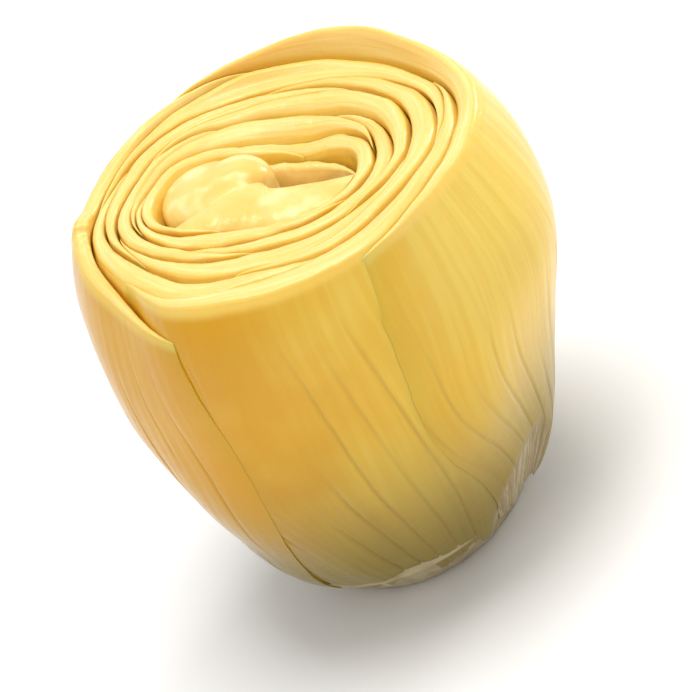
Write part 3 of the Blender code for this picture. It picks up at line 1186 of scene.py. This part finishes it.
def strand_end(angle, radius):
    """1 on the cut end of a strand and 0 between them. Each ring has a count and a radius."""
    found = 0.0
    for count, ring_radius in STRAND_RINGS:
        number = round(angle * count / math.tau) % count
        jitter = noise.noise_vector(Vector((number * STRANDS_APART, ring_radius, STRAND_LEVEL)))
        middle = (number + jitter.x) * math.tau / count
        aside = math.remainder(angle - middle, math.tau) * radius
        away = radius - ring_radius - 2 * STRAND_WANDER * jitter.y
        size = STRAND_SIZE * (1 + jitter.z)
        found = max(found, math.exp(-(aside**2 + away**2) / size**2))
    return found


print("strands on the flat:", sum(count for count, _ in STRAND_RINGS))

# %% [markdown]
# The same loft makes the bottom as one closed skin: the flat, then the pared side, then the dome that
# the leaves stand on. A noise that runs up and down the side gives it fibres.

# %% The bottom's shape
FLAT_SHARE = 0.40
SIDE_SHARE = 0.65
BEHIND_SKIRT = 0.35
SKIRT_HEIGHT = 1.5
FLAT_HOLLOW = 0.22
FIBRE_DEPTH = 0.30
FIBRES = (9, 0.4)


def bottom_point(angle, share):
    """Share runs from the middle of the flat, over its edge and the rim, to the middle of the dome."""
    if share < FLAT_SHARE:
        radius = outline(angle, 0.0) * share / FLAT_SHARE
        height = FLAT_HOLLOW * (1 - (share / FLAT_SHARE) ** 4) * (1 - strand_end(angle, radius))
    elif share < SIDE_SHARE:
        height = RIM_HEIGHT * (share - FLAT_SHARE) / (SIDE_SHARE - FLAT_SHARE)
        radius = outline(angle, height) - BEHIND_SKIRT * smooth(height, 0.0, SKIRT_HEIGHT)
    else:
        inwards = (share - SIDE_SHARE) / (1 - SIDE_SHARE)
        height = flesh_height(inwards)
        radius = outline(angle, height) * (1 - inwards)
    spot = (math.cos(angle) * FIBRES[0], math.sin(angle) * FIBRES[0], height * FIBRES[1])
    radius += FIBRE_DEPTH * noise.noise(Vector(spot)) * smooth(height, 0.0, 1.0) * (share < SIDE_SHARE)
    return Vector((radius * math.cos(angle), radius * math.sin(angle), height))


print("the dome's middle is at", round(bottom_point(0.0, 1.0).z, 1), "mm")

# %% [markdown]
# Pared flesh is duller than a skin and browns a little in the air. It is chalk and tan in patches,
# with milky strand ends.

# %% The pared flesh
FLESH_PATCHES = 420.0
FLESH_GRAIN = 2400.0
FLESH_PATCH = (0.35, 0.75)
FLESH_TAN = 0.6
STRAND_EDGE = (0.2, 0.8)
STRAND_MILK = 0.6
FLESH_SMOOTHEST = 0.45
FLESH_ROUGH = 0.25
FLESH_RISES = (0.6, 0.4)
FLESH_BUMP = (0.6, 0.0006)


def bottom_flesh():
    made, tree, shader = new_finish("bottom_flesh", {**WET, "Coat Weight": 0.15})
    place = object_place(tree)
    patch = noise_wire(place, FLESH_PATCHES, 4.0)
    fine = noise_wire(place, FLESH_GRAIN, 3.0)
    colour = mixed(smooth(patch, *FLESH_PATCH) * FLESH_TAN, CHALK, TAN)
    colour = mixed(smooth(attribute(tree, "strand"), *STRAND_EDGE) * STRAND_MILK, colour, MILK)
    colour.feed(shader.inputs["Base Color"], colour)
    rough = FLESH_SMOOTHEST + FLESH_ROUGH * fine
    rough.feed(shader.inputs["Roughness"], rough)
    bumped(tree, shader, patch * FLESH_RISES[0] + fine * FLESH_RISES[1], *FLESH_BUMP)
    return made


flesh = bottom_flesh()
print(flesh.name, "has", len(flesh.node_tree.nodes), "nodes")

# %% [markdown]
# The strand ends are marked on the mesh by a named number, so that the finish can paint them just
# where the shape has them.

# %% The bottom's mesh
FLESH_STEPS = 280
FLESH_RINGS = 120
ON_THE_FLAT = FLAT_HOLLOW + 0.01


def store_strands(mesh):
    """Marks the cut ends of the strands on the flat."""
    marks = mesh.attributes.new("strand", "FLOAT", "POINT")
    for mark, vert in zip(marks.data, mesh.vertices):
        x, y, z = vert.co / MM
        if z < ON_THE_FLAT:
            mark.value = strand_end(math.atan2(y, x), math.hypot(x, y))


bottom = loft("pared_bottom", bottom_point, FLESH_RINGS, FLESH_STEPS)
store_strands(bottom.data)
bottom.data.materials.append(flesh)
settle(bottom, "bottom_flesh", "fleshy_bottom")
print(bottom.name, len(bottom.data.polygons), "faces")

# %% [markdown]
# ## Floor, light and camera
#
# The heart stands on a pale matt floor, large enough to have no edge in the picture.

# %% Floor
FLOOR_SIZE = 3.0
FLOOR_ROUGHNESS = 0.6
FLOOR_BRIGHTNESS = 0.92


def add_floor():
    mesh = bpy.data.meshes.new("floor")
    half = FLOOR_SIZE / 2
    corners = [(-half, -half, 0), (half, -half, 0), (half, half, 0), (-half, half, 0)]
    mesh.from_pydata(corners, [], [(0, 1, 2, 3)])
    floor = bpy.data.objects.new("floor", mesh)
    bpy.context.scene.collection.objects.link(floor)
    white = (FLOOR_BRIGHTNESS, FLOOR_BRIGHTNESS, FLOOR_BRIGHTNESS, 1.0)
    made, _, _ = new_finish("floor_white", {"Roughness": FLOOR_ROUGHNESS, "Base Color": white})
    mesh.materials.append(made)


add_floor()
print("the floor is", FLOOR_SIZE, "m wide")

# %% [markdown]
# The camera looks down at about 33 degrees. It is rolled, which makes the upright heart lean to the
# left, as it would on a heap. It stands far off with a long lens, so that the picture is nearly free
# of perspective.

# %% Camera
ELEVATION = math.radians(33)
ROLL = math.radians(30)
DISTANCE = 0.44
LENS = 250.0
AIM = Vector((1.2 * MM, 0.0, 21.0 * MM))


def add_camera():
    back = Vector((0.0, -math.cos(ELEVATION), math.sin(ELEVATION)))
    level = Vector((1.0, 0.0, 0.0))
    rise = back.cross(level)
    right = level * math.cos(ROLL) - rise * math.sin(ROLL)
    up = level * math.sin(ROLL) + rise * math.cos(ROLL)
    data = bpy.data.cameras.new("camera")
    data.lens = LENS
    camera = bpy.data.objects.new("camera", data)
    turn = Matrix((right, up, back)).transposed().to_4x4()
    camera.matrix_world = Matrix.Translation(AIM + back * DISTANCE) @ turn
    bpy.context.scene.collection.objects.link(camera)
    bpy.context.scene.camera = camera
    return right, up, back


right, up, back = add_camera()
print("the camera stands", DISTANCE, "m from its aim")

# %% [markdown]
# A large soft lamp above and in front does most of the work. A small one behind draws thin wet
# highlights on the rims. The white world fills in the shadows.

# %% Light
def add_light(name, side, high, near, size, power):
    """A square soft light, placed by the camera's own right, up and back."""
    data = bpy.data.lights.new(name, "AREA")
    data.size = size
    data.energy = power
    lamp = bpy.data.objects.new(name, data)
    place = AIM + right * side + up * high + back * near
    lamp.location = place
    lamp.rotation_euler = (AIM - place).to_track_quat("-Z", "Y").to_euler()
    bpy.context.scene.collection.objects.link(lamp)


add_light("key", side=-0.16, high=0.42, near=0.26, size=0.30, power=2.0)
add_light("rim", side=0.19, high=0.34, near=-0.13, size=0.10, power=0.4)

WORLD_STRENGTH = 0.68
world = bpy.data.worlds.new("studio")
bpy.context.scene.world = world
world.use_nodes = True
background = world.node_tree.nodes["Background"]
background.inputs["Color"].default_value = (1.0, 1.0, 1.0, 1.0)
background.inputs["Strength"].default_value = WORLD_STRENGTH
bpy.context.scene.view_settings.view_transform = "Standard"
print("lamps:", [lamp.name for lamp in bpy.data.lights])

# %% [markdown]
